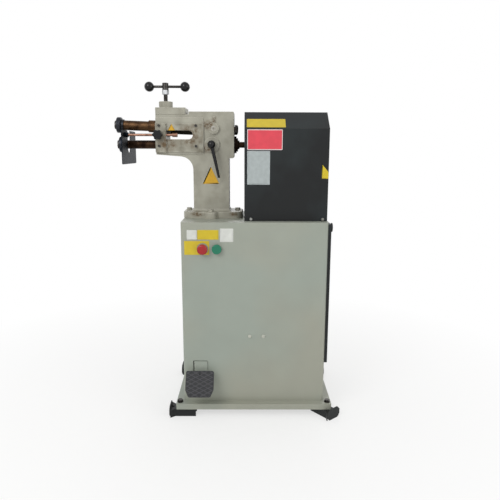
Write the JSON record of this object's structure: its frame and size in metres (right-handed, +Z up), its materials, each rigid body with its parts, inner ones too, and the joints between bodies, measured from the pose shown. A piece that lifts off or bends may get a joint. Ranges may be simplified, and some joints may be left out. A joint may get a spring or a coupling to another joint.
{
  "type": "sheet metal crimper",
  "caption": "Motor-driven rotary sheet metal crimper: long-nosed cast head with upper and lower rolls, screw-down handle, gauge plate and covered drive, on a floor cabinet with a foot pedal.",
  "frame": {"origin": "on the floor under the middle of the machine's bounding box", "axes": "+Z up, -Y towards the operator, -X towards the rolls"},
  "size_m": [0.9147, 0.5153, 1.3335],
  "materials": {
    "beige_paint": "smooth semi-gloss enamel, warm light grey",
    "casting_paint": "enamel on a cast surface, warm light grey with oily runs",
    "black_paint": "fine textured powder coat, near black",
    "machined_steel": "turned or ground",
    "oiled_steel": "turned steel with a brown film of preservative oil",
    "blackened_steel": "blackened, oiled",
    "zinc_steel": "zinc plated",
    "gauge_steel": "cold rolled sheet, blue grey",
    "bronze": "sintered bronze",
    "black_plastic": "moulded thermoset, glossy",
    "grey_plastic": "moulded, matt",
    "red_plastic": "moulded, glossy",
    "green_plastic": "moulded, glossy",
    "tread_rubber": "moulded rubber with raised diamonds",
    "motor_paint": "enamel, grey blue",
    "spring_steel": "bright spring steel"
  },
  "bodies": {
    "frame": {"base_tray": "beige_paint", "foot_front_left": "black_paint", "foot_front_right": "black_paint", "foot_rear_left": "black_paint", "foot_rear_right": "black_paint", "foot_bolts": "zinc_steel", "cabinet_shell": "beige_paint", "cabinet_rear_panel": "beige_paint", "cable_gland": "black_plastic", "side_access_panel": "black_paint", "access_panel_knobs": "black_plastic", "switchgear_box": "grey_plastic", "button_station": "grey_plastic", "pedal_bracket": "zinc_steel", "pedal_pivot_pin": "machined_steel", "foot_switch": "grey_plastic", "frame_casting": "casting_paint", "hold_down_bolts": "zinc_steel", "side_guide_plate": "casting_paint", "gear_case_cover": "casting_paint", "top_cap_block": "casting_paint", "head_screws": "blackened_steel", "pivot_screws": "machined_steel", "lower_front_bush": "bronze", "lower_end_cap": "oiled_steel", "gearbox_stand": "black_paint", "gearbox_housing": "motor_paint", "motor_housing": "motor_paint", "motor_cover": "black_paint", "panel_screws": "zinc_steel", "pedal_spring": "spring_steel", "lift_springs": "spring_steel"},
    "stop_button": {"stop_button": "red_plastic"},
    "start_button": {"start_button": "green_plastic"},
    "pedal": {"pedal_arm": "beige_paint", "pedal_tread": "tread_rubber"},
    "switch_plunger": {"switch_plunger": "machined_steel"},
    "lower_sleeve": {"lower_sleeve": "machined_steel"},
    "lower_shaft": {"lower_shaft": "oiled_steel", "lower_gear": "machined_steel", "lower_roll": "oiled_steel", "lower_roll_nut": "blackened_steel"},
    "upper_arm": {"upper_swing_arm": "blackened_steel", "upper_bushes": "bronze"},
    "upper_shaft": {"upper_shaft": "oiled_steel", "upper_gear": "machined_steel", "upper_roll": "oiled_steel", "upper_roll_nut": "blackened_steel", "upper_rear_nut": "blackened_steel"},
    "thrust_pad": {"thrust_pad": "machined_steel"},
    "press_screw": {"adjusting_screw": "blackened_steel", "screw_locknut": "zinc_steel"},
    "tee_handle": {"tee_bar": "blackened_steel", "tee_balls": "black_plastic"},
    "gauge": {"gauge_rod": "oiled_steel", "gauge_plate": "gauge_steel"},
    "clamp_knob": {"clamp_knob": "black_plastic"},
    "shift_lever": {"shift_lever": "black_plastic"},
    "motor_rotor": {"motor_rotor": "machined_steel"},
    "worm_wheel": {"worm_wheel": "machined_steel"}
  },
  "joints": [
    {"name": "motor_spin", "type": "hinge", "parent": "frame", "child": "motor_rotor", "pos_m": [0.16, 0.084, 1], "axis": [0, 0, 1], "continuous": true},
    {"name": "output_spin", "type": "hinge", "parent": "frame", "child": "worm_wheel", "pos_m": [0.16, 0.021, 1.0875], "axis": [1, 0, 0], "continuous": true},
    {"name": "lower_spin", "type": "hinge", "parent": "lower_sleeve", "child": "lower_shaft", "pos_m": [-0.066, 0.021, 1.0875], "axis": [1, 0, 0], "continuous": true},
    {"name": "upper_spin", "type": "hinge", "parent": "upper_arm", "child": "upper_shaft", "pos_m": [-0.059, 0.021, 1.15], "axis": [0.9993, 0, -0.0377], "continuous": true},
    {"name": "handle_turn", "type": "hinge", "parent": "thrust_pad", "child": "press_screw", "pos_m": [-0.253, 0.021, 1.24], "axis": [0, 0, 1], "range_deg": [-1316.1, 0]},
    {"name": "press_slide", "type": "slide", "parent": "frame", "child": "thrust_pad", "axis": [0, 0, 1], "range_m": [-0.00732, 0]},
    {"name": "upper_tilt", "type": "hinge", "parent": "frame", "child": "upper_arm", "pos_m": [-0.059, 0.021, 1.15], "axis": [0, 1, 0], "range_deg": [-2.17, 0], "deforming": ["lift_springs"]},
    {"name": "tee_bar_slide", "type": "slide", "parent": "press_screw", "child": "tee_handle", "axis": [1, 0, 0], "range_m": [-0.046, 0.032]},
    {"name": "lever_turn", "type": "hinge", "parent": "frame", "child": "shift_lever", "pos_m": [-0.066, 0.021, 1.0875], "axis": [0, 1, 0], "range_deg": [-22.4, 22.4]},
    {"name": "lower_shift", "type": "slide", "parent": "frame", "child": "lower_sleeve", "axis": [1, 0, 0], "range_m": [-0.0015, 0.0015]},
    {"name": "gauge_slide", "type": "slide", "parent": "frame", "child": "gauge", "axis": [1, 0, 0], "range_m": [-0.005, 0.055]},
    {"name": "clamp_turn", "type": "hinge", "parent": "frame", "child": "clamp_knob", "pos_m": [-0.277, -0.059, 1.124], "axis": [0, 1, 0], "range_deg": [0, 180]},
    {"name": "stop_press", "type": "slide", "parent": "frame", "child": "stop_button", "axis": [0, 1, 0], "range_m": [0, 0.005]},
    {"name": "start_press", "type": "slide", "parent": "frame", "child": "start_button", "axis": [0, 1, 0], "range_m": [0, 0.004], "stiffness_N_per_m": 800, "springref_m": -0.003},
    {"name": "pedal_press", "type": "hinge", "parent": "frame", "child": "pedal", "pos_m": [-0.112, -0.1, 0.15], "axis": [1, 0, 0], "range_deg": [0, 8], "stiffness_Nm_per_rad": 12, "springref_deg": -14.32, "deforming": ["pedal_spring"]},
    {"name": "plunger_press", "type": "slide", "parent": "frame", "child": "switch_plunger", "axis": [0, 0, 1], "range_m": [-0.0058, 0]}
  ],
  "couplings": [
    {"joint": "output_spin", "follows": "motor_spin", "ratio": 0.025},
    {"joint": "lower_spin", "follows": "motor_spin", "ratio": 0.025},
    {"joint": "upper_spin", "follows": "motor_spin", "ratio": -0.025},
    {"joint": "press_slide", "follows": "handle_turn", "m_per_rad": 0.00031831},
    {"joint": "upper_tilt", "follows": "handle_turn", "ratio": 0.0016405},
    {"joint": "lever_turn", "follows": "lower_shift", "rad_per_m": 255.98},
    {"joint": "plunger_press", "follows": "pedal_press", "m_per_rad": -0.0411}
  ]
}
